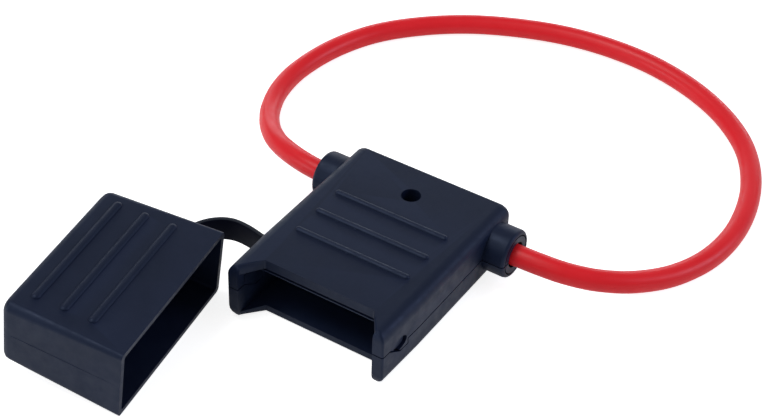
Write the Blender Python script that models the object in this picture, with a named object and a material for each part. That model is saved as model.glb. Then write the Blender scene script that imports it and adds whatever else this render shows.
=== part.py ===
"""Inline holder for a large blade fuse, with its cap taken off and parked beside it.

The holder's own frame has X across the mouth, +Y from the mouth to the back and +Z up.
Its origin is on the surface it lies on, below the middle of the ears' front faces.
"""

import bpy
import bmesh
from math import acos, ceil, cos, pi, radians, sin, tan
from mathutils import Matrix, Vector

MM = 0.001

# Clearances
PART_GAP = 0.3 * MM         # between neighbouring pieces, and along the parting line
CAP_SIDE_FIT = 0.2 * MM     # cap to body on each side, at the cap's rim when it is on
WIRE_FIT = 0.55 * MM        # wire to gland bore, all round
FUSE_SIDE_ROOM = 2.07 * MM  # beside the fuse in the mouth, each side

# Fuse that fits: its two blades, and the plastic outside them
BLADE_WIDTH = 8.0 * MM
BLADE_PITCH = 19.5 * MM
FUSE_EDGE = 0.85 * MM

# Holder body
BODY_DEPTH = 50.4 * MM
BODY_HEIGHT = 14.1 * MM
RIB_FOOT = 0.44 * MM        # the ribs underneath lift the body by this
TOP_WALL = 2.3 * MM
BOTTOM_WALL = 1.5 * MM
BACK_WALL = 2.0 * MM
REAR_SIDE_WALL = 2.1 * MM
EDGE_RADIUS = 2.6 * MM      # long edges, and the height of the end edges' rounding
END_RADIUS = 1.4 * MM       # how far front and back edges are rounded off in depth
BACK_CORNER_RADIUS = 1.3 * MM
REAR_CORNER_RADIUS = 1.6 * MM

# Mouth and ears
EAR_THICKNESS = 2.6 * MM
EAR_TAPER = 0.4 * MM        # each side leans in by this at the front
TAPER_LENGTH = 13.5 * MM
EAR_CORNER_RADIUS = 0.5 * MM
NOTCH_DEPTH = 5.5 * MM      # top and bottom walls are cut back by this between the ears
NOTCH_FLARE = 3.2 * MM      # how much wider the notch is at the front, each side
NOTCH_LEAD = 0.8 * MM       # straight run of the ear before the notch flares
NOTCH_SOFTENING = 1.3 * MM  # rounding of the outer edge beside the flare
NOTCH_CORNER_RADIUS = 0.5 * MM

# Liner and stops in the fuse chamber
FUSE_SEAT = 16.4 * MM       # from the ears' front to the stops
LINER_WALL = 0.3 * MM
LINER_SLOT = 0.7 * MM       # gap between the roof and the liner's front lip
LINER_SLOT_DEPTH = 3.6 * MM
LINER_SETBACK = 0.12 * MM   # behind the notch edge
STOP_THICKNESS = 1.2 * MM
STOP_EDGE = 0.4 * MM        # side stops reach this far over the fuse
INNER_ROOT = 0.3 * MM       # how far inner features reach into the wall that carries them

# Parting line on the side walls, as heights from the body's middle
PARTING_RISE = -0.19 * MM
TONGUE_RISE = -1.59 * MM
EAR_PARTING_RISE = 0.91 * MM
TONGUE_BACK = 9.1 * MM
TONGUE_SLOPE_START = 6.4 * MM
TONGUE_FRONT = 2.6 * MM

# Snap, with heights from the body's middle
WINDOW_Y = 6.2 * MM
WINDOW_RISE = 0.51 * MM
WINDOW_LENGTH = 4.8 * MM
WINDOW_HEIGHT = 3.0 * MM
CATCH_TAB_THICKNESS = 1.2 * MM
CATCH_TAB_SETBACK = 0.1 * MM  # the tab's inner face, behind the mouth's side wall
CATCH_TAB_RISE = 3.11 * MM
CATCH_SETBACK = 0.4 * MM    # the catch stays this far below the outer face

# Ribs on the body
BODY_RIB_LENGTH = 28.4 * MM
BODY_RIB_WIDTH = 1.5 * MM
BODY_RIB_HEIGHT = 0.5 * MM
FIRST_BODY_RIB_Y = 17.6 * MM
BODY_RIB_PITCH = 7.5 * MM
RIB_COUNT = 3
RIB_ROOT = 0.8 * MM         # how far a rib's body reaches into its wall
RIB_CREST_WIDTH = 0.3 * MM  # the flat along its crest

# Mounting hole
HOLE_DIAMETER = 4.4 * MM
HOLE_INSET = 9.7 * MM       # from the back
BOSS_WALL = 1.5 * MM

# Wire glands
GLAND_RADIUS = 5.55 * MM
GLAND_INSET = 6.5 * MM      # from the back
GLAND_LENGTH = 5.15 * MM    # out of the side wall
GLAND_RIM_RADIUS = 0.8 * MM
GROOVE_LAND = 0.1 * MM      # flat ring between the rim's rounding and the groove
GROOVE_WIDTH = 0.3 * MM
GROOVE_DEPTH = 0.9 * MM

# Wire
WIRE_DIAMETER = 4.9 * MM
CONDUCTOR_DIAMETER = 2.8 * MM
INSULATION_INSIDE = 3.67 * MM  # how far the insulation reaches past the rear side wall

# Terminals
SHEET = 0.8 * MM
SHEET_BEND_RADIUS = 0.72 * MM
CONTACT_LENGTH = 13.0 * MM
CONTACT_INNER_HEIGHT = 3.2 * MM
BLADE_SIDE_ROOM = 0.3 * MM
SEAM_WIDTH = 0.9 * MM
NECK_WIDTH = 6.0 * MM
NECK_SHEET = 0.7 * MM
BARREL_LENGTH = 6.6 * MM
CRADLE_THICKNESS = 1.2 * MM
GUIDE_THICKNESS = 1.0 * MM

# Cap
CAP_WALL = 1.15 * MM
CAP_DEPTH = 27.8 * MM
CAP_HEIGHT = 17.5 * MM
CAP_DRAFT = 0.68 * MM       # each side, over the depth
CAP_EDGE_RADIUS = 1.9 * MM  # round the closed end
CAP_RIM_RADIUS = 1.0 * MM   # the same long edges at the rim
CAP_INNER_RADIUS = 0.6 * MM
CAP_RIB_WIDTH = 1.9 * MM
CAP_RIB_HEIGHT = 0.55 * MM
CAP_RIB_END_ROOM = 4.4 * MM
CAP_RIB_OFFSET = 0.65 * MM  # the ribs sit nearer to the strap's side
FIRST_CAP_RIB = 9.8 * MM    # from the rim
CAP_RIB_PITCH = 6.5 * MM
CAP_FRONT_GAP = 0.9 * MM    # rim to ears when the cap has swung round

# Parked cap
CAP_TURN = radians(81.05)   # away from the line of the mouth
CAP_LIFT = radians(7.0)     # closed end up, because it leans on its lower rim
PIVOT_INSET = 0.37 * MM     # swing axis, in from the body's left side
PIVOT_Y = 4.62 * MM

# Strap
STRAP_THICKNESS = 1.0 * MM
STRAP_WIDTH = 5.85 * MM
STRAP_MIDDLE_Z = 7.37 * MM
STRAP_FROM_RIM = 11.7 * MM
STRAP_ROOT_Y = 15.6 * MM
STRAP_CROWN_OUT = 8.7 * MM   # the crown of its bend, out from the body's side
STRAP_CROWN_BACK = 1.0 * MM   # and behind its root
STRAP_CAP_PULL = 7.9 * MM   # how far each end keeps its first direction
STRAP_ROOT_PULL = 2.8 * MM
STRAP_CROWN_PULL = 4.6 * MM
STRAP_STEPS = 9

# Resolution
ARC_STEP = radians(18)
ROUND_SEGMENTS = 32
SMALL_ROUND_SEGMENTS = 20
EDGE_STEPS = 5
RIB_END_STEPS = 6
RIB_CREST_STEPS = 4
BEND_STEPS = 3
CAP_EDGE_STEPS = 4
ROUTE_STEPS = 20
WIRE_POINT_SPACING = 8.0 * MM
WIRE_BEVEL_STEPS = 3
SMOOTH_ANGLE = radians(32)
EMPTY_SIZE = 5 * MM

# The loop's centre line outside the glands, from the left one round to the right one, in
# millimetres: x from the holder's middle, y from the glands' line, z above the surface.
WIRE_ROUTE_MM = [
    (-30.2, 0.6, 7.40), (-36.6, 2.7, 6.70), (-42.6, 6.1, 5.45), (-48.4, 11.6, 3.85),
    (-53.0, 18.3, 2.75), (-56.1, 26.6, 2.45), (-57.0, 36.1, 2.45), (-55.2, 48.4, 2.45),
    (-50.6, 59.7, 2.45), (-43.3, 69.0, 2.45), (-33.6, 77.2, 2.45), (-22.3, 83.3, 2.45),
    (-10.0, 87.5, 2.45), (2.5, 89.1, 2.45), (15.2, 88.2, 2.45), (28.0, 84.3, 2.45),
    (39.6, 77.6, 2.45), (49.0, 68.2, 2.45), (55.6, 55.7, 2.45), (58.7, 41.8, 2.45),
    (58.1, 29.4, 2.50), (54.4, 19.0, 2.85), (48.8, 10.6, 4.05), (42.6, 4.7, 5.65),
    (36.3, 1.4, 6.90), (30.0, 0.2, 7.45),
]

# Sizes that follow from the ones above
FUSE_WIDTH = BLADE_PITCH + BLADE_WIDTH + 2 * FUSE_EDGE
MOUTH_HALF = FUSE_WIDTH / 2 + FUSE_SIDE_ROOM
BODY_HALF = MOUTH_HALF + EAR_THICKNESS + EAR_TAPER
REAR_HALF = BODY_HALF - REAR_SIDE_WALL
REAR_Y = BODY_DEPTH - BACK_WALL
HOLE_Y = BODY_DEPTH - HOLE_INSET
BODY_MIDDLE_Z = RIB_FOOT + BODY_HEIGHT / 2
BODY_TOP_Z = RIB_FOOT + BODY_HEIGHT
PARTING_Z = BODY_MIDDLE_Z + PARTING_RISE
TONGUE_Z = BODY_MIDDLE_Z + TONGUE_RISE
EAR_PARTING_Z = BODY_MIDDLE_Z + EAR_PARTING_RISE
WINDOW_Z = BODY_MIDDLE_Z + WINDOW_RISE
CATCH_TAB_Z = BODY_MIDDLE_Z + CATCH_TAB_RISE
FLOOR_Z = RIB_FOOT + BOTTOM_WALL
ROOF_Z = BODY_TOP_Z - TOP_WALL
LINER_TOP_Z = ROOF_Z - LINER_SLOT
LINER_Z = LINER_TOP_Z - LINER_WALL
BLADE_Z = (FLOOR_Z + LINER_Z) / 2
GLAND_Y = BODY_DEPTH - GLAND_INSET
GLAND_REACH = BODY_HALF + GLAND_LENGTH
GLAND_BORE = WIRE_DIAMETER / 2 + WIRE_FIT
GROOVE_OUTER_RADIUS = GLAND_RADIUS - GLAND_RIM_RADIUS - GROOVE_LAND
GROOVE_INNER_RADIUS = GROOVE_OUTER_RADIUS - GROOVE_WIDTH
INSULATION_END = REAR_HALF - INSULATION_INSIDE
CONTACT_Y = FUSE_SEAT + STOP_THICKNESS + PART_GAP
CONTACT_WIDTH = BLADE_WIDTH + 2 * BLADE_SIDE_ROOM + 2 * SHEET
CONTACT_HEIGHT = CONTACT_INNER_HEIGHT + 2 * SHEET
BARREL_RADIUS = CONDUCTOR_DIAMETER / 2 + PART_GAP + SHEET
CAP_WIDTH = 2 * (BODY_HALF + CAP_SIDE_FIT + CAP_WALL)
CAP_RIB_LENGTH = CAP_WIDTH - 2 * CAP_RIB_END_ROOM
PIVOT_X = PIVOT_INSET - BODY_HALF
BEYOND = BODY_HEIGHT        # how far cutters reach past the body

PLASTIC = ("shell_plastic", (0.018, 0.022, 0.041, 1.0), 0.5, 0.0)
STRAP_PLASTIC = ("strap_plastic", (0.016, 0.018, 0.028, 1.0), 0.55, 0.0)
INSULATION = ("wire_insulation", (0.66, 0.02, 0.04, 1.0), 0.35, 0.0)
TINNED = ("tinned_brass", (0.62, 0.60, 0.56, 1.0), 0.32, 1.0)
COPPER = ("bare_copper", (0.72, 0.36, 0.22, 1.0), 0.34, 1.0)


# Tools

def clear_scene():
    for obj in list(bpy.data.objects):
        bpy.data.objects.remove(obj, do_unlink=True)


def material(spec):
    name, colour, roughness, metallic = spec
    found = bpy.data.materials.get(name)
    if found:
        return found
    made = bpy.data.materials.new(name)
    made.use_nodes = True
    made.diffuse_color = colour
    shader = made.node_tree.nodes["Principled BSDF"]
    shader.inputs["Base Color"].default_value = colour
    shader.inputs["Roughness"].default_value = roughness
    shader.inputs["Metallic"].default_value = metallic
    return made


def make_object(name, bm, spec=None, parent=None):
    bmesh.ops.recalc_face_normals(bm, faces=bm.faces)
    mesh = bpy.data.meshes.new(name)
    bm.to_mesh(mesh)
    bm.free()
    obj = bpy.data.objects.new(name, mesh)
    bpy.context.scene.collection.objects.link(obj)
    obj.parent = parent
    if spec:
        mesh.materials.append(material(spec))
        shade(mesh)
    return obj


def shade(mesh):
    mesh.shade_smooth()
    mesh.set_sharp_from_angle(angle=SMOOTH_ANGLE)


def make_cutter(name, bm, parent=None):
    obj = make_object(name, bm, None, parent)
    obj.hide_render = True
    obj.display_type = "WIRE"
    return obj


def combine(obj, cutter, operation):
    step = obj.modifiers.new(operation.lower() + "_" + cutter.name, "BOOLEAN")
    step.operation = operation
    step.solver = "EXACT"
    step.object = cutter
    return step


def round_corners(corners, fixed_steps=0):
    """A closed outline with each corner (a, b, radius) turned into a tangent arc."""
    points = []
    for index, (a, b, radius) in enumerate(corners):
        here = Vector((a, b))
        before = Vector(corners[index - 1][:2])
        after = Vector(corners[(index + 1) % len(corners)][:2])
        if radius <= 0:
            points.append(here)
            continue
        back = (before - here).normalized()
        ahead = (after - here).normalized()
        half_angle = acos(max(-1.0, min(1.0, back.dot(ahead)))) / 2
        centre = here + (back + ahead).normalized() * (radius / sin(half_angle))
        first = here + back * (radius / tan(half_angle)) - centre
        turn = pi - 2 * half_angle
        side = 1 if back.x * ahead.y - back.y * ahead.x < 0 else -1
        steps = fixed_steps or max(1, ceil(turn / ARC_STEP))
        for step in range(steps + 1):
            angle = side * turn * step / steps
            points.append(centre + Matrix.Rotation(angle, 2) @ first)
    return points


def rectangle(a_low, a_high, b_low, b_high, radius=0.0):
    return round_corners([
        (a_low, b_low, radius), (a_high, b_low, radius),
        (a_high, b_high, radius), (a_low, b_high, radius),
    ])


def circle(a, b, radius_a, radius_b, segments):
    turns = [2 * pi * step / segments for step in range(segments)]
    return [Vector((a + radius_a * cos(t), b + radius_b * sin(t))) for t in turns]


def sheet_outline(path, thickness):
    """The outline of a thin sheet whose middle follows the path."""
    left, right = [], []
    for index, point in enumerate(path):
        before = path[max(index - 1, 0)]
        after = path[min(index + 1, len(path) - 1)]
        along = (after - before).normalized()
        side = Vector((-along.y, along.x)) * thickness / 2
        left.append(point + side)
        right.append(point - side)
    return left + right[::-1]


def add_prism(bm, outline, axis, low, high):
    """Extrudes an outline along X, Y or Z; its points are (y, z), (x, z) or (x, y)."""
    place = {
        "X": lambda p: (low, p.x, p.y),
        "Y": lambda p: (p.x, low, p.y),
        "Z": lambda p: (p.x, p.y, low),
    }[axis]
    along = Vector([high - low if name == axis else 0.0 for name in "XYZ"])
    face = bm.faces.new([bm.verts.new(place(p)) for p in outline])
    grown = bmesh.ops.extrude_face_region(bm, geom=[face])
    moved = [item for item in grown["geom"] if isinstance(item, bmesh.types.BMVert)]
    bmesh.ops.translate(bm, verts=moved, vec=along)


def prism(outline, axis, low, high):
    bm = bmesh.new()
    add_prism(bm, outline, axis, low, high)
    return bm


def prisms(items):
    bm = bmesh.new()
    for outline, axis, low, high in items:
        add_prism(bm, outline, axis, low, high)
    return bm


def add_loft(bm, rings):
    """A closed solid through rings of points, each with as many points as the last."""
    loops = [[bm.verts.new(point) for point in ring] for ring in rings]
    for low, high in zip(loops, loops[1:]):
        for index in range(len(low)):
            after = (index + 1) % len(low)
            bm.faces.new((low[index], low[after], high[after], high[index]))
    bm.faces.new(loops[0][::-1])
    bm.faces.new(loops[-1])


def loft(rings):
    bm = bmesh.new()
    add_loft(bm, rings)
    return bm


def quarter(steps):
    """Angles from 0 up to a quarter turn."""
    return [pi / 2 * step / steps for step in range(steps + 1)]


def rib_ring(middle, ends, radius, z):
    ring = []
    for side in (1, -1):
        for step in range(RIB_END_STEPS + 1):
            angle = pi * step / RIB_END_STEPS - side * pi / 2
            ring.append((middle.x + side * ends + radius * cos(angle),
                         middle.y + radius * sin(angle), z))
    return ring


def add_rib(bm, middle, length, width, height, up):
    """A low rib along X with round ends and a round crest, rooted below its wall."""
    radius = width / 2
    ends = length / 2 - radius
    rings = [rib_ring(middle, ends, radius, middle.z - up * RIB_ROOT)]
    for angle in quarter(RIB_CREST_STEPS)[:-1]:
        rings.append(
            rib_ring(middle, ends, radius * cos(angle), middle.z + up * height * sin(angle)))
    rings.append(rib_ring(middle, ends, RIB_CREST_WIDTH / 2, middle.z + up * height))
    add_loft(bm, rings)


# Holder body

def mirrored(right):
    """An outline's corners on the right, then the same ones on the left."""
    return right + [(-a, b, radius) for a, b, radius in reversed(right)]


def body_core():
    """The solid body with tapered ears, round back corners and softened edges."""
    plan = round_corners(mirrored([
        (BODY_HALF - EAR_TAPER, 0.0, EAR_CORNER_RADIUS), (BODY_HALF, TAPER_LENGTH, 0.0),
        (BODY_HALF, BODY_DEPTH, BACK_CORNER_RADIUS),
    ]))
    middle = BODY_DEPTH / 2
    rings = []
    for up in (-1, 1):
        for angle in quarter(EDGE_STEPS)[::up]:
            share_x = 1 - EDGE_RADIUS * (1 - cos(angle)) / BODY_HALF
            share_y = 1 - END_RADIUS * (1 - cos(angle)) / middle
            z = BODY_MIDDLE_Z + up * (BODY_HEIGHT / 2 - EDGE_RADIUS * (1 - sin(angle)))
            rings.append([(p.x * share_x, middle + (p.y - middle) * share_y, z) for p in plan])
    return loft(rings)


def notch_ring(opening, z):
    """The notch at one height; the opening widens it at the front of each flare."""
    outline = round_corners(mirrored([
        (MOUTH_HALF + opening, -BEYOND, 0.0),
        (MOUTH_HALF + opening, NOTCH_LEAD, NOTCH_CORNER_RADIUS),
        (MOUTH_HALF - NOTCH_FLARE, NOTCH_DEPTH, NOTCH_CORNER_RADIUS),
    ]), BEND_STEPS)
    return [(p.x, p.y, z) for p in outline]


def notch_cutter(parent):
    """The notch between the ears, softened where its flares meet top and underside."""
    rings = [notch_ring(NOTCH_SOFTENING, RIB_FOOT - BEYOND)]
    for up in (-1, 1):
        surface = BODY_MIDDLE_Z + up * BODY_HEIGHT / 2
        for angle in quarter(EDGE_STEPS)[::up]:
            opening = NOTCH_SOFTENING * (1 - cos(angle))
            rings.append(notch_ring(opening, surface - up * NOTCH_SOFTENING * (1 - sin(angle))))
    rings.append(notch_ring(NOTCH_SOFTENING, BODY_TOP_Z + BEYOND))
    return make_cutter("notch", loft(rings), parent)


def gland_solid(parent):
    """Both glands: round stubs along X with a round rim and a groove in the end face."""
    floor = GLAND_REACH - GROOVE_DEPTH
    shape = [(REAR_HALF + REAR_SIDE_WALL / 2, GLAND_RADIUS)]
    for angle in quarter(BEND_STEPS):
        shape.append((GLAND_REACH - GLAND_RIM_RADIUS * (1 - sin(angle)),
                      GLAND_RADIUS - GLAND_RIM_RADIUS * (1 - cos(angle))))
    shape += [
        (GLAND_REACH, GROOVE_OUTER_RADIUS), (floor, GROOVE_OUTER_RADIUS),
        (floor, GROOVE_INNER_RADIUS), (GLAND_REACH, GROOVE_INNER_RADIUS),
    ]
    bm = bmesh.new()
    for side in (1, -1):
        rings = []
        for x, radius in shape:
            disc = circle(GLAND_Y, BODY_MIDDLE_Z, radius, radius, ROUND_SEGMENTS)
            rings.append([(side * x, p.x, p.y) for p in disc])
        add_loft(bm, rings)
    return make_cutter("gland_stubs", bm, parent)


def body_ribs(name, wall_z, height, up, parent):
    bm = bmesh.new()
    for index in range(RIB_COUNT):
        middle = Vector((0.0, FIRST_BODY_RIB_Y + index * BODY_RIB_PITCH, wall_z))
        add_rib(bm, middle, BODY_RIB_LENGTH, BODY_RIB_WIDTH, height, up)
    return make_cutter(name, bm, parent)


def cavity_cutter(parent):
    """The hollow between floor and roof: fuse chamber in front, wiring room behind."""
    step = REAR_HALF - MOUTH_HALF
    outline = round_corners(mirrored([
        (MOUTH_HALF, -BEYOND, 0.0), (MOUTH_HALF, CONTACT_Y, 0.0),
        (REAR_HALF, CONTACT_Y + step, 0.0), (REAR_HALF, REAR_Y, REAR_CORNER_RADIUS),
    ]))
    return make_cutter("hollow", prism(outline, "Z", FLOOR_Z, ROOF_Z), parent)


def bore_cutter(parent):
    """The wire's bore through each gland."""
    disc = circle(GLAND_Y, BODY_MIDDLE_Z, GLAND_BORE, GLAND_BORE, ROUND_SEGMENTS)
    items = [
        (disc, "X", side * (REAR_HALF - PART_GAP), side * (GLAND_REACH + PART_GAP))
        for side in (1, -1)
    ]
    return make_cutter("gland_bores", prisms(items), parent)


def hole_cutter(parent):
    outline = circle(0.0, HOLE_Y, HOLE_DIAMETER / 2, HOLE_DIAMETER / 2, ROUND_SEGMENTS)
    return make_cutter("mounting_hole", prism(outline, "Z", -BEYOND, BODY_TOP_Z + BEYOND), parent)


def boss_solid(parent):
    radius = HOLE_DIAMETER / 2 + BOSS_WALL
    outline = circle(0.0, HOLE_Y, radius, radius, ROUND_SEGMENTS)
    return make_cutter(
        "hole_boss", prism(outline, "Z", FLOOR_Z - INNER_ROOT, ROOF_Z + INNER_ROOT), parent)


def parting_line(offset):
    """Points (y, z) of the parting line from back to front, moved up by the offset."""
    steps = [
        (BODY_DEPTH + BEYOND, PARTING_Z), (TONGUE_BACK - offset, PARTING_Z),
        (TONGUE_BACK - offset, TONGUE_Z), (TONGUE_SLOPE_START + offset, TONGUE_Z),
        (TONGUE_FRONT + offset, EAR_PARTING_Z), (-BEYOND, EAR_PARTING_Z),
    ]
    return [(y, z + offset) for y, z in steps]


def region(name, offset, limit, parent):
    """Everything on one side of the parting line, as far as the height given."""
    line = parting_line(offset)
    outline = [Vector(p) for p in line + [(line[-1][0], limit), (line[0][0], limit)]]
    reach = GLAND_REACH + BEYOND
    return make_cutter(name, prism(outline, "X", -reach, reach), parent)


def liner_solid(parent):
    """The thin liner over the fuse, with a slot between its front lip and the roof."""
    front = NOTCH_DEPTH + LINER_SETBACK
    back = front + LINER_SLOT_DEPTH
    embed = ROOF_Z + INNER_ROOT
    outline = [Vector(p) for p in (
        (front, LINER_Z), (FUSE_SEAT, LINER_Z), (FUSE_SEAT, embed),
        (back, embed), (back, LINER_TOP_Z), (front, LINER_TOP_Z),
    )]
    half = MOUTH_HALF + INNER_ROOT
    return make_cutter("liner", prism(outline, "X", -half, half), parent)


def side_pockets(parent):
    """Room in the upper shell's ears for the catch tabs of the lower one."""
    items = []
    outer = MOUTH_HALF + CATCH_TAB_THICKNESS + PART_GAP
    y_low = TONGUE_FRONT - PART_GAP
    y_high = TONGUE_BACK + PART_GAP
    for side in (1, -1):
        outline = rectangle(y_low, y_high, 0.0, CATCH_TAB_Z + PART_GAP)
        items.append((outline, "X", side * (MOUTH_HALF - INNER_ROOT), side * outer))
    return make_cutter("tab_pockets", prisms(items), parent)


def snap_windows(parent):
    items = []
    inner = MOUTH_HALF + CATCH_TAB_THICKNESS
    for side in (1, -1):
        outline = circle(
            WINDOW_Y, WINDOW_Z, WINDOW_LENGTH / 2, WINDOW_HEIGHT / 2, SMALL_ROUND_SEGMENTS)
        items.append((outline, "X", side * inner, side * (BODY_HALF + PART_GAP)))
    return make_cutter("snap_windows", prisms(items), parent)


def catch_tabs(parent):
    """Tabs inside the ears, rising from the lower shell; their feet are in its wall."""
    items = []
    for side in (1, -1):
        outline = rectangle(TONGUE_FRONT, TONGUE_BACK, FLOOR_Z, CATCH_TAB_Z)
        inner = side * (MOUTH_HALF + CATCH_TAB_SETBACK)
        outer = side * (MOUTH_HALF + CATCH_TAB_THICKNESS)
        items.append((outline, "X", inner, outer))
    return make_cutter("catch_tabs", prisms(items), parent)


def catch_bumps(parent):
    """The bump on each tab that snaps into the window."""
    items = []
    half_length = WINDOW_LENGTH / 2 - PART_GAP
    half_height = WINDOW_HEIGHT / 2 - PART_GAP
    outer = BODY_HALF - EAR_TAPER - CATCH_SETBACK
    for side in (1, -1):
        outline = circle(WINDOW_Y, WINDOW_Z, half_length, half_height, SMALL_ROUND_SEGMENTS)
        inner = side * (MOUTH_HALF + CATCH_TAB_THICKNESS / 2)
        items.append((outline, "X", inner, side * outer))
    return make_cutter("catch_bumps", prisms(items), parent)


def fuse_stops(parent):
    """Upright stops behind the fuse, open where its blades pass."""
    opening = CONTACT_WIDTH / 2 + BLADE_SIDE_ROOM
    middle = BLADE_PITCH / 2 - opening
    edge = FUSE_WIDTH / 2 - STOP_EDGE
    spans = [(-middle, middle)]
    for side in (1, -1):
        spans.append(tuple(sorted((side * edge, side * (MOUTH_HALF + INNER_ROOT)))))
    top = LINER_Z - PART_GAP
    items = []
    for low, high in spans:
        outline = rectangle(low, high, FUSE_SEAT, FUSE_SEAT + STOP_THICKNESS)
        items.append((outline, "Z", FLOOR_Z - INNER_ROOT, top))
    return make_cutter("fuse_stops", prisms(items), parent)


def terminal_seats(parent):
    """Ribs on the floor under each contact and crimp, and a guide wall beside each contact."""
    contact_low = BLADE_Z - CONTACT_HEIGHT / 2 - PART_GAP
    barrel_low = BODY_MIDDLE_Z - BARREL_RADIUS - PART_GAP
    inner = BLADE_PITCH / 2 - CONTACT_WIDTH / 2 - PART_GAP
    items = []
    for side in (1, -1):
        middle = side * BLADE_PITCH / 2
        for y in (CONTACT_Y + CRADLE_THICKNESS, CONTACT_Y + CONTACT_LENGTH - 2 * CRADLE_THICKNESS):
            outline = rectangle(
                middle - CONTACT_WIDTH / 3, middle + CONTACT_WIDTH / 3, y, y + CRADLE_THICKNESS)
            items.append((outline, "Z", FLOOR_Z - INNER_ROOT, contact_low))
        outline = rectangle(
            middle - CRADLE_THICKNESS, middle + CRADLE_THICKNESS,
            GLAND_Y - BARREL_RADIUS / 2, GLAND_Y + BARREL_RADIUS / 2)
        items.append((outline, "Z", FLOOR_Z - INNER_ROOT, barrel_low))
        low, high = sorted((side * inner, side * (inner - GUIDE_THICKNESS)))
        outline = rectangle(low, high, CONTACT_Y + CRADLE_THICKNESS, CONTACT_Y + CONTACT_LENGTH)
        items.append((outline, "Z", FLOOR_Z - INNER_ROOT, PARTING_Z - PART_GAP))
    return make_cutter("terminal_seats", prisms(items), parent)


def terminal_clamps(parent):
    """Ribs under the roof that hold each contact down."""
    top = ROOF_Z + INNER_ROOT
    low = BLADE_Z + CONTACT_HEIGHT / 2 + PART_GAP
    middle_y = CONTACT_Y + CONTACT_LENGTH / 2
    items = []
    for side in (1, -1):
        for offset in (-CONTACT_WIDTH / 3, CONTACT_WIDTH / 3):
            x = side * BLADE_PITCH / 2 + offset
            outline = rectangle(
                x - GUIDE_THICKNESS / 2, x + GUIDE_THICKNESS / 2,
                middle_y - CONTACT_LENGTH / 4, middle_y + CONTACT_LENGTH / 4)
            items.append((outline, "Z", low, top))
    return make_cutter("terminal_clamps", prisms(items), parent)


def build_shells(parent):
    notch = notch_cutter(parent)
    glands = gland_solid(parent)
    hollow = cavity_cutter(parent)
    boss = boss_solid(parent)
    openings = [bore_cutter(parent), hole_cutter(parent)]
    top_ribs = body_ribs("top_ribs", BODY_TOP_Z, BODY_RIB_HEIGHT, 1, parent)
    foot_ribs = body_ribs("foot_ribs", RIB_FOOT, RIB_FOOT, -1, parent)
    above = region("above_parting", PART_GAP / 2, BODY_TOP_Z + BEYOND, parent)
    below = region("below_parting", -PART_GAP / 2, RIB_FOOT - BEYOND, parent)
    shells = []
    for name, ribs, half, inner in (
        ("upper_shell", top_ribs, above, [liner_solid(parent), terminal_clamps(parent)]),
        ("lower_shell", foot_ribs, below, [fuse_stops(parent), terminal_seats(parent)]),
    ):
        shell = make_object(name, body_core(), PLASTIC, parent)
        combine(shell, notch, "DIFFERENCE")
        combine(shell, glands, "UNION")
        combine(shell, ribs, "UNION")
        combine(shell, hollow, "DIFFERENCE")
        for piece in [boss] + inner:
            combine(shell, piece, "UNION")
        for opening in openings:
            combine(shell, opening, "DIFFERENCE")
        combine(shell, half, "INTERSECT")
        shells.append(shell)
    upper, lower = shells
    combine(upper, side_pockets(parent), "DIFFERENCE")
    combine(upper, snap_windows(parent), "DIFFERENCE")
    combine(lower, catch_tabs(parent), "UNION")
    combine(lower, catch_bumps(parent), "UNION")
    return upper, lower


# Terminals and wire

def contact_outline():
    """A box folded from sheet, open along a seam in its top, as points (x, z)."""
    half = (CONTACT_WIDTH - SHEET) / 2
    high = (CONTACT_HEIGHT - SHEET) / 2
    seam = SEAM_WIDTH / 2
    corner = SHEET_BEND_RADIUS
    path = []
    for a, b, turn in ((half, high, 0), (half, -high, 1), (-half, -high, 2), (-half, high, 3)):
        centre = Vector((a - corner * (1 if a > 0 else -1), b - corner * (1 if b > 0 else -1)))
        for bend in quarter(BEND_STEPS):
            angle = pi / 2 - turn * pi / 2 - bend
            path.append(centre + corner * Vector((cos(angle), sin(angle))))
    path = [Vector((seam, high))] + path + [Vector((-seam, high))]
    return sheet_outline(path, SHEET)


def barrel_outline():
    """A crimp barrel rolled from sheet, open along a seam at its top, as points (y, z)."""
    radius = BARREL_RADIUS - SHEET / 2
    seam = SEAM_WIDTH / 2 / radius
    path = []
    for step in range(SMALL_ROUND_SEGMENTS + 1):
        angle = pi / 2 + seam + (2 * pi - 2 * seam) * step / SMALL_ROUND_SEGMENTS
        path.append(Vector((GLAND_Y + radius * cos(angle), BODY_MIDDLE_Z + radius * sin(angle))))
    return sheet_outline(path, SHEET)


def neck_outline():
    """The flat neck from the contact's floor back to the barrel's underside, as (y, z)."""
    contact_floor = BLADE_Z - CONTACT_HEIGHT / 2 + SHEET / 2
    barrel_floor = BODY_MIDDLE_Z - BARREL_RADIUS + SHEET / 2
    contact_back = CONTACT_Y + CONTACT_LENGTH
    start = contact_back - 2 * SHEET
    bend = contact_back + 2 * SHEET
    land = GLAND_Y - BARREL_RADIUS
    path = [Vector(p) for p in (
        (start, contact_floor), (bend, contact_floor),
        (land, barrel_floor), (GLAND_Y, barrel_floor),
    )]
    return sheet_outline(path, NECK_SHEET)


def build_terminal(name, side, parent):
    middle = side * BLADE_PITCH / 2
    contact = [Vector((p.x + middle, p.y + BLADE_Z)) for p in contact_outline()]
    bm = prism(contact, "Y", CONTACT_Y, CONTACT_Y + CONTACT_LENGTH)
    terminal = make_object(name, bm, TINNED, parent)
    neck = prism(neck_outline(), "X", middle - NECK_WIDTH / 2, middle + NECK_WIDTH / 2)
    barrel = prism(barrel_outline(), "X", middle - BARREL_LENGTH / 2, middle + BARREL_LENGTH / 2)
    combine(terminal, make_cutter(name + "_neck", neck, parent), "UNION")
    combine(terminal, make_cutter(name + "_barrel", barrel, parent), "UNION")
    return terminal


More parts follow.
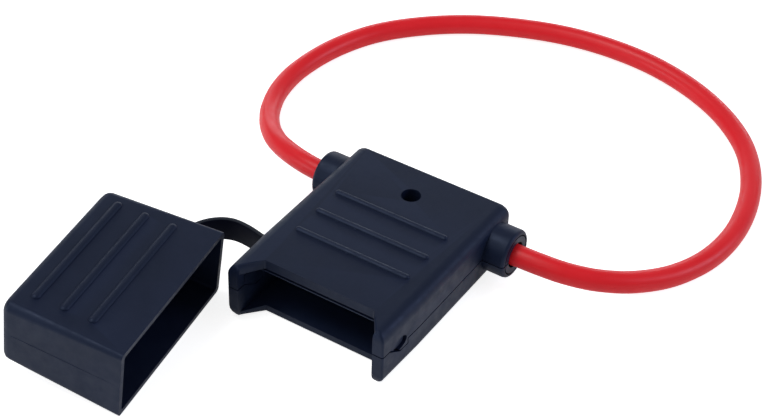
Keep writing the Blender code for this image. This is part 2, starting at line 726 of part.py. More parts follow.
def build_conductor(name, side, parent):
    """The stripped end of the wire, from the insulation into the crimp barrel."""
    radius = CONDUCTOR_DIAMETER / 2
    outline = circle(GLAND_Y, BODY_MIDDLE_Z, radius, radius, SMALL_ROUND_SEGMENTS)
    outer = side * (INSULATION_END - PART_GAP)
    inner = side * (BLADE_PITCH / 2 - BARREL_LENGTH / 2)
    return make_object(name, prism(outline, "X", inner, outer), COPPER, parent)


def smooth_path(points, spacing):
    """Points at an even spacing along a smooth curve through the given ones."""
    dense = [points[0]]
    for index in range(len(points) - 1):
        here, after = points[index], points[index + 1]
        before = points[index - 1] if index else here - (after - here)
        last = index == len(points) - 2
        beyond = after + (after - here) if last else points[index + 2]
        span = (after - here).length
        leave = (after - before) * span / ((here - before).length + span)
        reach = (beyond - here) * span / ((beyond - after).length + span)
        for step in range(1, ROUTE_STEPS + 1):
            t = step / ROUTE_STEPS
            dense.append(
                here * (2 * t**3 - 3 * t**2 + 1) + leave * (t**3 - 2 * t**2 + t)
                + after * (3 * t**2 - 2 * t**3) + reach * (t**3 - t**2))
    lengths = [0.0]
    for a, b in zip(dense, dense[1:]):
        lengths.append(lengths[-1] + (b - a).length)
    count = max(2, round(lengths[-1] / spacing))
    even, place = [], 0
    for step in range(count + 1):
        goal = lengths[-1] * step / count
        while place < len(dense) - 2 and lengths[place + 1] < goal:
            place += 1
        share = (goal - lengths[place]) / (lengths[place + 1] - lengths[place])
        even.append(dense[place].lerp(dense[place + 1], share))
    return even


def wire_points():
    """The whole wire: out of the left gland, round the loop and into the right gland."""
    across = (INSULATION_END, BODY_HALF, GLAND_REACH)
    left = [Vector((-x, GLAND_Y, BODY_MIDDLE_Z)) for x in across]
    right = [Vector((x, GLAND_Y, BODY_MIDDLE_Z)) for x in reversed(across)]
    loop = [Vector((x * MM, y * MM + GLAND_Y, z * MM)) for x, y, z in WIRE_ROUTE_MM]
    return smooth_path(left + loop + right, WIRE_POINT_SPACING)


def build_wire(parent):
    data = bpy.data.curves.new("wire_loop", "CURVE")
    data.dimensions = "3D"
    data.bevel_depth = WIRE_DIAMETER / 2
    data.bevel_resolution = WIRE_BEVEL_STEPS
    data.use_fill_caps = True
    points = wire_points()
    spline = data.splines.new("POLY")
    spline.points.add(len(points) - 1)
    for target, point in zip(spline.points, points):
        target.co = (*point, 1.0)
    spline.use_smooth = True
    data.materials.append(material(INSULATION))
    obj = bpy.data.objects.new("wire_loop", data)
    bpy.context.scene.collection.objects.link(obj)
    obj.parent = parent
    return obj


# Cap

def tapered_box(half_width, half_height, y_open, y_closed, draft, open_radius, end_radius):
    """A box along Y that narrows towards its closed end, where all its edges are round."""
    def ring(a, b, radius):
        corners = [(-a, -b, radius), (a, -b, radius), (a, b, radius), (-a, b, radius)]
        return round_corners(corners, CAP_EDGE_STEPS)

    rings = [[(p.x, y_open, p.y) for p in ring(half_width, half_height, open_radius)]]
    a, b = half_width - draft, half_height - draft
    for angle in quarter(CAP_EDGE_STEPS):
        inset = end_radius * (1 - cos(angle))
        y = y_closed + end_radius * (1 - sin(angle))
        rings.append(
            [(p.x * (1 - inset / a), y, p.y * (1 - inset / b)) for p in ring(a, b, end_radius)])
    return loft(rings)


def build_cap(parent):
    """The cap in its own frame: the opening's middle at the origin, facing +Y."""
    outer = tapered_box(
        CAP_WIDTH / 2, CAP_HEIGHT / 2, 0.0, -CAP_DEPTH, CAP_DRAFT,
        CAP_RIM_RADIUS, CAP_EDGE_RADIUS)
    cap = make_object("cap", outer, PLASTIC, parent)
    ribs = bmesh.new()
    for index in range(RIB_COUNT):
        back = FIRST_CAP_RIB + index * CAP_RIB_PITCH
        wall = CAP_HEIGHT / 2 - CAP_DRAFT * back / CAP_DEPTH
        for up in (1, -1):
            middle = Vector((-CAP_RIB_OFFSET, -back, up * wall))
            add_rib(ribs, middle, CAP_RIB_LENGTH, CAP_RIB_WIDTH, CAP_RIB_HEIGHT, up)
    combine(cap, make_cutter("cap_ribs", ribs, parent), "UNION")
    beyond = CAP_DRAFT / CAP_DEPTH * PART_GAP
    inner = tapered_box(
        CAP_WIDTH / 2 - CAP_WALL + beyond, CAP_HEIGHT / 2 - CAP_WALL + beyond,
        PART_GAP, CAP_WALL - CAP_DEPTH, CAP_DRAFT, CAP_INNER_RADIUS, CAP_INNER_RADIUS)
    combine(cap, make_cutter("cap_hollow", inner, parent), "DIFFERENCE")
    return cap


def cap_turn():
    """How the parked cap is turned from the way it faces when it is on."""
    return Matrix.Rotation(-CAP_TURN, 3, "Z") @ Matrix.Rotation(-CAP_LIFT, 3, "X")


def swung_middle():
    """The opening's middle once the cap has swung round to face the mouth.

    Its height is what makes the parked cap's lower rim edge touch the surface.
    """
    pivot = Vector((PIVOT_X, PIVOT_Y, BODY_MIDDLE_Z))
    turn = cap_turn()
    parked_height = (turn @ Vector((0.0, 0.0, CAP_HEIGHT / 2))).z
    level = turn @ (Vector((0.0, -CAP_FRONT_GAP, BODY_MIDDLE_Z)) - pivot) + pivot
    rise = (parked_height - level.z) / turn[2][2]
    return Vector((0.0, -CAP_FRONT_GAP, BODY_MIDDLE_Z + rise))


# Strap

def strap_path(cap_anchor, cap_direction):
    """The strap's middle line in plan, from the parked cap's side to the body's left side."""
    root = Vector((-BODY_HALF - PART_GAP, STRAP_ROOT_Y))
    crown = Vector((-BODY_HALF - STRAP_CROWN_OUT, STRAP_ROOT_Y + STRAP_CROWN_BACK))
    ahead = Vector((1.0, 0.0))
    halves = (
        (cap_anchor, cap_anchor + cap_direction * STRAP_CAP_PULL,
         crown - ahead * STRAP_CROWN_PULL, crown),
        (crown, crown + ahead * STRAP_CROWN_PULL, root - ahead * STRAP_ROOT_PULL, root),
    )
    path = [cap_anchor]
    for a, b, c, d in halves:
        for step in range(1, STRAP_STEPS + 1):
            t = step / STRAP_STEPS
            s = 1 - t
            path.append(a * s**3 + b * 3 * s * s * t + c * 3 * s * t * t + d * t**3)
    return path


def build_strap(cap_matrix, parent):
    side = Vector((-CAP_WIDTH / 2 + CAP_DRAFT * STRAP_FROM_RIM / CAP_DEPTH, -STRAP_FROM_RIM, 0.0))
    outward = (cap_matrix.to_3x3() @ Vector((-1.0, 0.0, 0.0))).normalized()
    anchor = cap_matrix @ side + outward * PART_GAP
    path = strap_path(anchor.xy, outward.xy.normalized())
    outline = sheet_outline(path, STRAP_THICKNESS)
    low = STRAP_MIDDLE_Z - STRAP_WIDTH / 2
    bm = prism(outline, "Z", low, low + STRAP_WIDTH)
    return make_object("tether_strap", bm, STRAP_PLASTIC, parent)


# Assembly

def make_empty(name, parent=None, location=(0.0, 0.0, 0.0)):
    empty = bpy.data.objects.new(name, None)
    empty.empty_display_size = EMPTY_SIZE
    bpy.context.scene.collection.objects.link(empty)
    empty.parent = parent
    empty.location = location
    return empty


def centre_on_origin(holder, pieces):
    """Moves the holder so that the box of the given pieces stands centred on the origin."""
    bpy.context.view_layer.update()
    graph = bpy.context.evaluated_depsgraph_get()
    corners = []
    for piece in pieces:
        shown = piece.evaluated_get(graph)
        corners += [shown.matrix_world @ Vector(corner) for corner in shown.bound_box]
    for axis in (0, 1):
        low = min(corner[axis] for corner in corners)
        high = max(corner[axis] for corner in corners)
        holder.location[axis] = -(low + high) / 2


def main():
    clear_scene()
    bpy.context.scene.unit_settings.system = "METRIC"
    holder = make_empty("holder_frame")
    upper, lower = build_shells(holder)
    pieces = [upper, lower]
    for side, word in ((-1, "left"), (1, "right")):
        pieces.append(build_terminal("terminal_" + word, side, holder))
        pieces.append(build_conductor("conductor_" + word, side, holder))
    build_wire(holder)

    slide = make_empty("cap_push_axis", holder)
    swing = make_empty("cap_swing_axis", slide, (PIVOT_X, PIVOT_Y, BODY_MIDDLE_Z))
    swing.rotation_mode = "QUATERNION"
    swing.rotation_quaternion = cap_turn().to_quaternion()
    cap = build_cap(swing)
    cap.location = swung_middle() - swing.location
    for helper in swing.children:
        helper.location = cap.location
    cap_matrix = (Matrix.Translation(swing.location) @ cap_turn().to_4x4()
                  @ Matrix.Translation(cap.location))
    strap = build_strap(cap_matrix, slide)
    centre_on_origin(holder, pieces + [cap, strap])


main()
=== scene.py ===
"""Looks of the inline fuse holder: finishes, the wire loop, the strap, light and camera."""

from math import cos, pi, radians, sin

import bmesh
import bpy
from mathutils import Matrix, Vector


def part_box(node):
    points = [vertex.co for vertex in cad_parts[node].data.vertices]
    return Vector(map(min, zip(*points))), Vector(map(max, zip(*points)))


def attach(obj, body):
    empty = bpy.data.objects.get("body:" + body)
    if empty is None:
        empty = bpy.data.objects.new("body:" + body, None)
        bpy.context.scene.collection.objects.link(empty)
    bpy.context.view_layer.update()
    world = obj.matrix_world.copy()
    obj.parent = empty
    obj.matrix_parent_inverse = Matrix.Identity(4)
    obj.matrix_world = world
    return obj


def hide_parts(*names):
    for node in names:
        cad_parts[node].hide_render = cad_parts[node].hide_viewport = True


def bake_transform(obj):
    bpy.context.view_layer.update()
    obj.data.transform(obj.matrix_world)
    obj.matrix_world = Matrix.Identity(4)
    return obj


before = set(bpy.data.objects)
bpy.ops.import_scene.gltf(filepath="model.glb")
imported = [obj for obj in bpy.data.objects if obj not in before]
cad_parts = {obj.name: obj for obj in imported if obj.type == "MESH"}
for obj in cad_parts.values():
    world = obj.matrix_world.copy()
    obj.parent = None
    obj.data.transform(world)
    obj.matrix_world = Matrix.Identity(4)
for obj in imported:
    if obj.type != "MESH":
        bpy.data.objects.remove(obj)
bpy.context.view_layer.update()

MM = 0.001

# The holder's own frame: origin below the middle of the ears' front faces
LOWER_LOW, LOWER_HIGH = (Vector(corner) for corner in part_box("lower_shell"))
BODY_DEPTH = 50.4 * MM
HOLDER = Vector(((LOWER_LOW.x + LOWER_HIGH.x) / 2, LOWER_HIGH.y - BODY_DEPTH, 0.0))

# Camera, in the holder's frame; angles in degrees
CAMERA_AT = Vector((154.75, -220.81, 259.22)) * MM
CAMERA_HEADING = 31.73
CAMERA_DOWN = 39.24
CAMERA_ROLL = 1.916
CAMERA_LENS = 84.22
CAMERA_SENSOR = 36.0
CAMERA_SHIFT = (0.0021, -0.0021)
CAMERA_CLIP = (0.01, 10.0)

# Pieces added to the CAD
PATH_STEPS = 20             # straight steps between two given points of a smooth path
SHARP_ANGLE = 40            # degrees; edges with a larger angle stay sharp

# Wire, in millimetres in the holder's frame, as in the part's source
WIRE_DIAMETER = 4.9 * MM
GLAND_Y = 43.9
GLAND_Z = 7.49
INSULATION_END = 13.9
WIRE_ROUTE_MM = [
    (-19.67, 43.9, 7.49), (-24.82, 43.9, 7.49), (-30.2, 44.5, 7.40), (-36.6, 46.6, 6.70),
    (-42.6, 50.0, 5.45), (-48.4, 55.5, 3.85), (-53.0, 62.2, 2.75), (-56.1, 70.5, 2.45),
    (-57.0, 80.0, 2.45), (-55.2, 92.3, 2.45), (-50.6, 103.6, 2.45), (-43.3, 112.9, 2.45),
    (-33.6, 121.1, 2.45), (-22.3, 127.2, 2.45), (-10.0, 131.4, 2.45), (2.5, 133.0, 2.45),
    (15.2, 132.1, 2.45), (28.0, 128.2, 2.45), (39.6, 121.5, 2.45), (49.0, 112.1, 2.45),
    (55.6, 99.6, 2.45), (58.7, 85.7, 2.45), (58.1, 73.3, 2.50), (54.4, 62.9, 2.85),
    (48.8, 54.5, 4.05), (42.6, 48.6, 5.65), (36.3, 45.3, 6.90), (30.0, 44.1, 7.45),
    (24.82, 43.9, 7.49), (19.67, 43.9, 7.49),
]
WIRE_SPACING = 1.6 * MM
WIRE_BEVEL_STEPS = 7

# Strap, in millimetres, along its middle line in plan from the cap's side to the body's
STRAP_ROUTE_MM = [
    (-36.35, 3.40), (-36.59, 6.18), (-36.40, 8.46), (-35.88, 10.50), (-35.07, 12.28),
    (-34.01, 13.78), (-32.77, 14.99), (-31.38, 15.87), (-29.90, 16.41), (-28.37, 16.60),
    (-26.96, 16.57), (-25.78, 16.47), (-24.77, 16.34), (-23.90, 16.18), (-23.11, 16.02),
    (-22.37, 15.86), (-21.63, 15.73), (-20.84, 15.63), (-19.62, 15.60),
]
STRAP_SPLIT = 13            # the strap's two pieces meet at this point of its route
STRAP_THICKNESS = 1.0
STRAP_LOW = 4.45
STRAP_HIGH = 10.3
STRAP_EDGE_RADIUS = 0.32
STRAP_EDGE_STEPS = 3
STRAP_SPACING = 0.5 * MM

# Parked cap, in millimetres and degrees: the middle of its opening, its turns and its
# nearer side wall
CAP_MIDDLE = (-21.646, -15.287, 8.685)
CAP_TURN = 81.05
CAP_LIFT = 7.0
CAP_HALF_WIDTH = 21.02
CAP_DRAFT = 0.68 / 27.8

# Mould line on the cap's nearer side wall, in millimetres
MOULD_LINE_Z = 0.15
MOULD_LINE_START = 0.8      # back from the cap's rim
MOULD_LINE_LENGTH = 24.4
MOULD_LINE_STEPS = 24
MOULD_LINE_ROOT = 0.1       # how far its foot reaches into the wall
MOULD_LINE_FOOT = (-0.16, 0.06)     # its foot's lower and upper edge, from its height
MOULD_LINE_CREST = (-0.03, 0.03)    # and its crest's
MOULD_LINE_RISE = 0.05
MOULD_LINE_FADE = 0.3       # power that keeps the rise full until near its ends
MOULD_LINE_WAVER = 0.25     # share of the rise that comes and goes along it
MOULD_LINE_WAVER_STEP = 1.9     # radians at each step

# Specks of flash at the feet of the body's ribs, in millimetres
SPECKS_MM = [(-0.7, 16.75), (-3.6, 24.22), (-8.3, 24.26)]
SPECK_HALF_SIZE = (0.42, 0.2, 0.16)
SPECK_SUBDIVISIONS = 2
BODY_TOP_Z = 14.54

# Finer surface of the CAD nodes; angles in degrees
SHELL_EDGE = 0.12 * MM
CONTACT_EDGE = 0.08 * MM
EDGE_SEGMENTS = 2
EDGE_ANGLE = 35
WELD_REACH = 0.001 * MM
FLAT_ANGLE = 0.5
NORMAL_WEIGHT = 100

# Finishes: linear colours, and how far light scatters in the red
# The lighter colours serve both the random clouding and the painted highlight on sharp edges
PLASTIC, PLASTIC_LIGHTER = (0.0044, 0.0079, 0.0235), (0.0095, 0.0152, 0.040)
# The strap's plastic is darker than the shells' as painted shade on the band
STRAP, STRAP_LIGHTER = (0.003, 0.0034, 0.011), (0.006, 0.0068, 0.019)
# Painted light: the strap's faces that look up are given this much paler colour
STRAP_PAINTED_TOP_LIGHT = (0.030, 0.033, 0.042)
PLASTIC_SHEEN = (0.58, 0.71, 1.0, 1.0)
RED, RED_LIGHTER = (0.84, 0.012, 0.021), (0.90, 0.020, 0.030)
RED_SCATTER = (1.0 * MM, 0.3 * MM, 0.2 * MM)
BRASS, BRASS_LIGHTER = (0.60, 0.57, 0.51), (0.70, 0.68, 0.64)
COPPER, COPPER_STAIN = (0.71, 0.33, 0.19), (0.48, 0.20, 0.11)
WHITE = (1.0, 1.0, 1.0)
COOL_WHITE = (0.86, 0.94, 1.0)

# Stage
FLOOR_HALF_SIZE = 3.0
FLOOR_DROP = 0.05 * MM      # keeps the floor clear of the faces that rest at zero
FLOOR_WHITE = (0.9, 0.9, 0.9)
FLOOR_ROUGHNESS = 0.9
FLOOR_GLOW_SEEN = 0.8       # glow that the camera sees, for the photo's white ground
FLOOR_GLOW_MIRRORED = 0.3   # and the glow in reflections
WORLD_LIGHT = 0.28
WORLD_SEEN = 1.0

# Lamps: name, place, size, power and colour, all aimed at one point
LIGHT_AIM = (0.0, 0.03, 0.0)
LIGHTS = [
    ("top_softbox", (-0.5, -0.25, 1.15), (0.6, 0.6), 5.8, WHITE),
    ("low_softbox", (-0.85, -0.8, 0.26), (0.4, 0.3), 2.4, COOL_WHITE),
    ("front_softbox", (-0.2, -0.95, 0.95), (0.7, 0.4), 1.2, WHITE),
    ("right_softbox", (0.9, 0.5, 0.5), (0.5, 0.5), 3.6, (0.72, 0.78, 1.0)),
    ("back_strip", (-0.55, 1.25, 0.3), (1.8, 0.36), 5.0, (0.86, 0.93, 1.0)),
]


def place(x, y, z):
    """A point given in millimetres in the holder's frame, in the row's frame."""
    return HOLDER + Vector((x, y, z)) * MM


# Camera and wire

def add_camera():
    data = bpy.data.cameras.new("photo_camera")
    data.lens = CAMERA_LENS
    data.sensor_width = CAMERA_SENSOR
    data.sensor_fit = "HORIZONTAL"
    data.shift_x, data.shift_y = CAMERA_SHIFT
    data.clip_start, data.clip_end = CAMERA_CLIP
    camera = bpy.data.objects.new("photo_camera", data)
    bpy.context.scene.collection.objects.link(camera)
    turn = (Matrix.Rotation(radians(CAMERA_HEADING), 4, "Z")
            @ Matrix.Rotation(radians(90 - CAMERA_DOWN), 4, "X")
            @ Matrix.Rotation(radians(CAMERA_ROLL), 4, "Z"))
    camera.matrix_world = Matrix.Translation(HOLDER + CAMERA_AT) @ turn
    bpy.context.scene.camera = camera


def smooth_path(points, spacing):
    """Points at an even spacing along a smooth curve through the given ones."""
    dense = [points[0]]
    for index in range(len(points) - 1):
        here, after = points[index], points[index + 1]
        before = points[index - 1] if index else here - (after - here)
        last = index == len(points) - 2
        beyond = after + (after - here) if last else points[index + 2]
        span = (after - here).length
        leave = (after - before) * span / ((here - before).length + span)
        reach = (beyond - here) * span / ((beyond - after).length + span)
        for step in range(1, PATH_STEPS + 1):
            t = step / PATH_STEPS
            dense.append(
                here * (2 * t**3 - 3 * t**2 + 1) + leave * (t**3 - 2 * t**2 + t)
                + after * (3 * t**2 - 2 * t**3) + reach * (t**3 - t**2))
    lengths = [0.0]
    for a, b in zip(dense, dense[1:]):
        lengths.append(lengths[-1] + (b - a).length)
    count = max(2, round(lengths[-1] / spacing))
    even, spot = [], 0
    for step in range(count + 1):
        goal = lengths[-1] * step / count
        while spot < len(dense) - 2 and lengths[spot + 1] < goal:
            spot += 1
        share = (goal - lengths[spot]) / (lengths[spot + 1] - lengths[spot])
        even.append(dense[spot].lerp(dense[spot + 1], share))
    return even


def add_wire(material):
    ends = [place(side * INSULATION_END, GLAND_Y, GLAND_Z) for side in (-1, 1)]
    route = [ends[0]] + [place(*point) for point in WIRE_ROUTE_MM] + [ends[1]]
    points = smooth_path(route, WIRE_SPACING)
    data = bpy.data.curves.new("wire", "CURVE")
    data.dimensions = "3D"
    # The bevel is scaled by each point's radius, because that radius sizes the curve's box
    data.bevel_depth = 1.0
    data.bevel_resolution = WIRE_BEVEL_STEPS
    data.use_fill_caps = True
    spline = data.splines.new("POLY")
    spline.points.add(len(points) - 1)
    for target, point in zip(spline.points, points):
        target.co = (*point, 1.0)
        target.radius = WIRE_DIAMETER / 2
    spline.use_smooth = True
    wire = bpy.data.objects.new("wire", data)
    bpy.context.scene.collection.objects.link(wire)
    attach(wire, "holder")
    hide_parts("wire_loop")
    wire.data.materials.append(material)


# Strap and small details

def new_piece(name, bm, material):
    bmesh.ops.recalc_face_normals(bm, faces=bm.faces)
    mesh = bpy.data.meshes.new(name)
    bm.to_mesh(mesh)
    bm.free()
    mesh.shade_smooth()
    mesh.set_sharp_from_angle(angle=radians(SHARP_ANGLE))
    mesh.materials.append(material)
    piece = bpy.data.objects.new(name, mesh)
    bpy.context.scene.collection.objects.link(piece)
    return piece


def skin(bm, rings):
    """A closed tube through rings that have the same number of points."""
    count = len(rings[0])
    for low, high in zip(rings, rings[1:]):
        for index in range(count):
            after = (index + 1) % count
            bm.faces.new((low[index], low[after], high[after], high[index]))
    bm.faces.new(rings[0])
    bm.faces.new(rings[-1])


def strap_section():
    """The band's cross-section with rounded edges, as points (across, height)."""
    half, middle = STRAP_THICKNESS / 2, (STRAP_LOW + STRAP_HIGH) / 2
    reach = (STRAP_HIGH - STRAP_LOW) / 2
    points = []
    for a, b, start in ((1, 1, 0), (-1, 1, 1), (-1, -1, 2), (1, -1, 3)):
        for step in range(STRAP_EDGE_STEPS + 1):
            angle = pi / 2 * (start + step / STRAP_EDGE_STEPS)
            points.append((a * (half - STRAP_EDGE_RADIUS) + STRAP_EDGE_RADIUS * cos(angle),
                           middle + b * (reach - STRAP_EDGE_RADIUS)
                           + STRAP_EDGE_RADIUS * sin(angle)))
    return points


def add_strap_piece(name, route, material):
    path = smooth_path([place(x, y, 0.0) for x, y in route], STRAP_SPACING)
    section = strap_section()
    bm = bmesh.new()
    rings = []
    for index, point in enumerate(path):
        along = (path[min(index + 1, len(path) - 1)] - path[max(index - 1, 0)]).normalized()
        across = Vector((-along.y, along.x, 0.0))
        rings.append([bm.verts.new(point + across * a * MM + Vector((0, 0, b * MM)))
                      for a, b in section])
    skin(bm, rings)
    return new_piece(name, bm, material)


def add_strap(material):
    """The bending strap in two pieces, one for each joint that it crosses."""
    outer = add_strap_piece("strap_to_cap", STRAP_ROUTE_MM[:STRAP_SPLIT + 1], material)
    inner = add_strap_piece("strap_to_body", STRAP_ROUTE_MM[STRAP_SPLIT:], material)
    for piece in (outer, inner):
        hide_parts("tether_strap")
    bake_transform(outer)
    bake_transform(inner)


def add_mould_line(material):
    """The faint raised line where the mould's halves met, along the cap's nearer side."""
    turn = (Matrix.Rotation(-radians(CAP_TURN), 4, "Z")
            @ Matrix.Rotation(-radians(CAP_LIFT), 4, "X"))
    foot, crest = ([MOULD_LINE_Z + height for height in pair]
                   for pair in (MOULD_LINE_FOOT, MOULD_LINE_CREST))
    bm = bmesh.new()
    rings = []
    for step in range(MOULD_LINE_STEPS + 1):
        back = MOULD_LINE_START + MOULD_LINE_LENGTH * step / MOULD_LINE_STEPS
        wall = CAP_HALF_WIDTH - CAP_DRAFT * back
        fade = sin(pi * step / MOULD_LINE_STEPS) ** MOULD_LINE_FADE
        waver = 1 - MOULD_LINE_WAVER + MOULD_LINE_WAVER * cos(MOULD_LINE_WAVER_STEP * step)
        low, high = wall - MOULD_LINE_ROOT, wall + MOULD_LINE_RISE * fade * waver
        ring = [(low, foot[0]), (high, crest[0]), (high, crest[1]), (low, foot[1])]
        rings.append([bm.verts.new(place(*CAP_MIDDLE) + turn @ (Vector((x, -back, z)) * MM))
                      for x, z in ring])
    skin(bm, rings)
    line = new_piece("cap_mould_line", bm, material)
    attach(line, "cap")


def add_specks(material):
    size = Matrix.Diagonal((*(half * MM for half in SPECK_HALF_SIZE), 1.0))
    bm = bmesh.new()
    for x, y in SPECKS_MM:
        bmesh.ops.create_icosphere(
            bm, subdivisions=SPECK_SUBDIVISIONS, radius=1.0,
            matrix=Matrix.Translation(place(x, y, BODY_TOP_Z)) @ size)
    specks = new_piece("rib_flash", bm, material)
    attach(specks, "holder")


# Materials: ranges are pairs, (lowest, highest)

def new_material(name, base, roughness, metallic=0.0):
    material = bpy.data.materials.new(name)
    material.use_nodes = True
    material.diffuse_color = (*base, 1.0)
    shader = material.node_tree.nodes["Principled BSDF"]
    shader.inputs["Base Color"].default_value = (*base, 1.0)
    shader.inputs["Roughness"].default_value = roughness
    shader.inputs["Metallic"].default_value = metallic
    return material, material.node_tree, shader


def noise(tree, scale, detail=4.0, stretch=None):
    """A noise texture in the piece's own coordinates; the scale is in cycles a metre."""
    coordinates = tree.nodes.new("ShaderNodeTexCoord")
    texture = tree.nodes.new("ShaderNodeTexNoise")
    texture.inputs["Scale"].default_value = scale
    texture.inputs["Detail"].default_value = detail
    texture.inputs["Roughness"].default_value = 0.55
    source = coordinates.outputs["Object"]
    if stretch:
        mapping = tree.nodes.new("ShaderNodeMapping")
        mapping.inputs["Scale"].default_value = stretch
        tree.links.new(source, mapping.inputs["Vector"])
        source = mapping.outputs["Vector"]
    tree.links.new(source, texture.inputs["Vector"])
    return texture.outputs["Fac"]


def spread(tree, source, taken, given):
    """Maps a value from one range onto another."""
    node = tree.nodes.new("ShaderNodeMapRange")
    for name, value in zip(("From Min", "From Max", "To Min", "To Max"), (*taken, *given)):
        node.inputs[name].default_value = value
    tree.links.new(source, node.inputs["Value"])
    return node.outputs["Result"]


def mix(tree, factor, first, second):
    """Blends two colours, each given as a colour or as a socket."""
    node = tree.nodes.new("ShaderNodeMix")
    node.data_type = "RGBA"
    colours = [socket for socket in node.inputs if socket.type == "RGBA"]
    for socket, colour in zip(colours, (first, second)):
        if isinstance(colour, tuple):
            socket.default_value = (*colour, 1.0)
        else:
            tree.links.new(colour, socket)
    share = next(socket for socket in node.inputs
                 if socket.name == "Factor" and socket.type == "VALUE")
    tree.links.new(factor, share)
    return next(socket for socket in node.outputs if socket.type == "RGBA")


def bump(tree, height, strength, distance, below=None):
    node = tree.nodes.new("ShaderNodeBump")
    node.inputs["Strength"].default_value = strength
    node.inputs["Distance"].default_value = distance
    tree.links.new(height, node.inputs["Height"])
    if below:
        tree.links.new(below, node.inputs["Normal"])
    return node.outputs["Normal"]


def moulded_plastic(name, base, lighter, roughness, gloss, painted_top_light=None):
    """Dark moulded plastic: a fine satin grain, faint clouding, and a painted highlight that
    makes sharp edges paler.

    Where a colour of painted light is given, faces that look up have it, as a painted
    highlight.
    """
    material, tree, shader = new_material(name, base, roughness)
    shader.inputs["Specular IOR Level"].default_value = gloss
    shader.inputs["Specular Tint"].default_value = PLASTIC_SHEEN
    cloud = spread(tree, noise(tree, scale=130.0, detail=5.0), (0.3, 0.75), (0.0, 0.4))
    colour = mix(tree, cloud, base, lighter)
    geometry = tree.nodes.new("ShaderNodeNewGeometry")
    # Painted highlight: sharp edges, found by pointiness, are blended towards the lighter
    # colour
    edge = spread(tree, geometry.outputs["Pointiness"], (0.53, 0.62), (0.0, 0.6))
    colour = mix(tree, edge, colour, lighter)
    if painted_top_light:
        # Painted light: faces that look up are blended towards the given colour
        parts = tree.nodes.new("ShaderNodeSeparateXYZ")
        tree.links.new(geometry.outputs["Normal"], parts.inputs[0])
        painted_top_light_share = spread(tree, parts.outputs["Z"], (0.25, 0.8), (0.0, 1.0))
        colour = mix(tree, painted_top_light_share, colour, painted_top_light)
    tree.links.new(colour, shader.inputs["Base Color"])
    patches = spread(tree, noise(tree, scale=420.0, detail=6.0), (0.3, 0.7),
                     (roughness - 0.07, roughness + 0.09))
    tree.links.new(patches, shader.inputs["Roughness"])
    coarse = bump(tree, noise(tree, scale=900.0, detail=3.0),
                  strength=0.12, distance=0.05 * MM)
    fine = bump(tree, noise(tree, scale=5200.0, detail=2.0),
                strength=0.22, distance=0.02 * MM, below=coarse)
    tree.links.new(fine, shader.inputs["Normal"])
    return material


def insulation():
    """Red wire insulation: a soft gloss, faintly uneven in colour and surface."""
    material, tree, shader = new_material("wire_red", RED, roughness=0.4)
    shader.inputs["Specular IOR Level"].default_value = 0.3
    shader.inputs["Subsurface Weight"].default_value = 0.08
    shader.inputs["Subsurface Radius"].default_value = RED_SCATTER
    cloud = spread(tree, noise(tree, scale=90.0), (0.35, 0.7), (0.0, 0.6))
    tree.links.new(mix(tree, cloud, RED, RED_LIGHTER), shader.inputs["Base Color"])
    patches = spread(tree, noise(tree, scale=700.0), (0.3, 0.7), (0.32, 0.44))
    tree.links.new(patches, shader.inputs["Roughness"])
    grain = bump(tree, noise(tree, scale=1500.0, detail=3.0), strength=0.12, distance=0.03 * MM)
    tree.links.new(grain, shader.inputs["Normal"])
    return material


def tinned_brass():
    """Rolled sheet, with streaks along the piece."""
    material, tree, shader = new_material(
        "tinned_brass_sheet", BRASS, roughness=0.34, metallic=1.0)
    streaks = noise(tree, scale=900.0, stretch=(1.0, 0.12, 1.0))
    share = spread(tree, streaks, (0.3, 0.7), (0.0, 1.0))
    tree.links.new(mix(tree, share, BRASS, BRASS_LIGHTER), shader.inputs["Base Color"])
    tree.links.new(spread(tree, streaks, (0.3, 0.7), (0.26, 0.45)), shader.inputs["Roughness"])
    grooves = bump(tree, streaks, strength=0.1, distance=0.02 * MM)
    tree.links.new(grooves, shader.inputs["Normal"])
    return material


def copper():
    material, tree, shader = new_material(
        "copper_strand", COPPER, roughness=0.33, metallic=1.0)
    stain = spread(tree, noise(tree, scale=600.0), (0.4, 0.75), (0.0, 0.8))
    tree.links.new(mix(tree, stain, COPPER, COPPER_STAIN), shader.inputs["Base Color"])
    grain = bump(tree, noise(tree, scale=2500.0, detail=2.0), strength=0.1, distance=0.02 * MM)
    tree.links.new(grain, shader.inputs["Normal"])
    return material


# Stage

def add_floor():
    bm = bmesh.new()
    bmesh.ops.create_grid(bm, x_segments=1, y_segments=1, size=FLOOR_HALF_SIZE)
    mesh = bpy.data.meshes.new("floor")
    bm.to_mesh(mesh)
    bm.free()
    floor = bpy.data.objects.new("floor", mesh)
    bpy.context.scene.collection.objects.link(floor)
    floor.location.z = -FLOOR_DROP
    material, tree, shader = new_material("floor_white", FLOOR_WHITE, FLOOR_ROUGHNESS)
    shader.inputs["Specular IOR Level"].default_value = 0.0
    rays = tree.nodes.new("ShaderNodeLightPath")
    glow = tree.nodes.new("ShaderNodeMath")
    glow.operation = "ADD"
    for slot, ray, strength in ((0, "Is Camera Ray", FLOOR_GLOW_SEEN),
                                (1, "Is Glossy Ray", FLOOR_GLOW_MIRRORED)):
        share = spread(tree, rays.outputs[ray], (0.0, 1.0), (0.0, strength))
        tree.links.new(share, glow.inputs[slot])
    shader.inputs["Emission Color"].default_value = (*WHITE, 1.0)
    tree.links.new(glow.outputs[0], shader.inputs["Emission Strength"])
    mesh.materials.append(material)


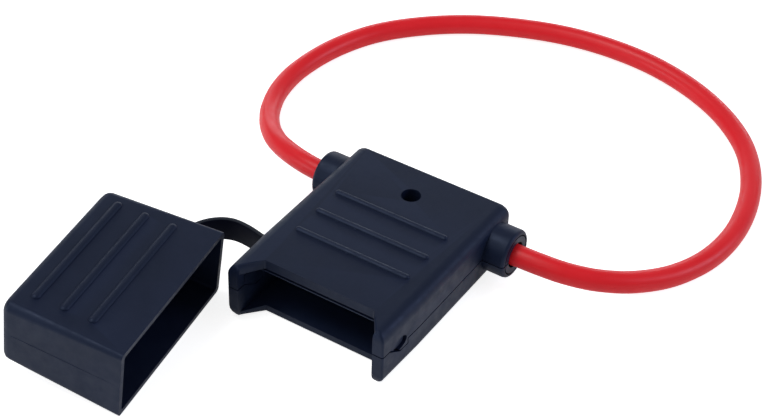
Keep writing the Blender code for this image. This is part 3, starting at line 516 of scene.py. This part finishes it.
def add_world():
    world = bpy.data.worlds.new("studio")
    world.use_nodes = True
    bpy.context.scene.world = world
    tree = world.node_tree
    background = tree.nodes["Background"]
    background.inputs["Color"].default_value = (*WHITE, 1.0)
    rays = tree.nodes.new("ShaderNodeLightPath")
    strength = spread(tree, rays.outputs["Is Camera Ray"],
                      (0.0, 1.0), (WORLD_LIGHT, WORLD_SEEN))
    tree.links.new(strength, background.inputs["Strength"])


def add_lights():
    for name, at, size, power, colour in LIGHTS:
        data = bpy.data.lights.new(name, "AREA")
        data.shape = "RECTANGLE"
        data.size, data.size_y = size
        data.energy = power
        data.color = colour
        lamp = bpy.data.objects.new(name, data)
        bpy.context.scene.collection.objects.link(lamp)
        lamp.location = at
        direction = Vector(LIGHT_AIM) - Vector(at)
        lamp.rotation_euler = direction.to_track_quat("-Z", "Y").to_euler()


# CAD nodes

def finish(node, material):
    """Gives a CAD node its finish."""
    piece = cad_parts[node]
    piece.data.materials.clear()
    piece.data.materials.append(material)
    return piece


def dress(node, material, width):
    """Gives a CAD node its finish, joins up its flat faces and softens its sharp edges."""
    piece = finish(node, material)
    weld = piece.modifiers.new("weld", "WELD")
    weld.merge_threshold = WELD_REACH
    flat = piece.modifiers.new("flat_faces", "DECIMATE")
    flat.decimate_type = "DISSOLVE"
    flat.angle_limit = radians(FLAT_ANGLE)
    soften = piece.modifiers.new("soft_edges", "BEVEL")
    soften.width = width
    soften.segments = EDGE_SEGMENTS
    soften.limit_method = "ANGLE"
    soften.angle_limit = radians(EDGE_ANGLE)
    even = piece.modifiers.new("even_normals", "WEIGHTED_NORMAL")
    even.weight = NORMAL_WEIGHT


def main():
    bpy.context.scene.view_settings.view_transform = "Standard"
    add_camera()
    add_wire(insulation())
    black = moulded_plastic(
        "moulded_black", PLASTIC, PLASTIC_LIGHTER, roughness=0.47, gloss=0.3)
    # The strap's copy of the plastic: darker all over as painted shade, paler on upward faces
    # as painted light
    strap_black = moulded_plastic(
        "strap_black", STRAP, STRAP_LIGHTER, roughness=0.46, gloss=0.08, painted_top_light=STRAP_PAINTED_TOP_LIGHT)
    brass = tinned_brass()
    strand = copper()
    for node in ("upper_shell", "lower_shell", "cap"):
        dress(node, black, SHELL_EDGE)
    add_strap(strap_black)
    add_mould_line(black)
    add_specks(black)
    for side in ("left", "right"):
        dress("terminal_" + side, brass, CONTACT_EDGE)
        finish("conductor_" + side, strand)
    add_floor()
    add_world()
    add_lights()


main()
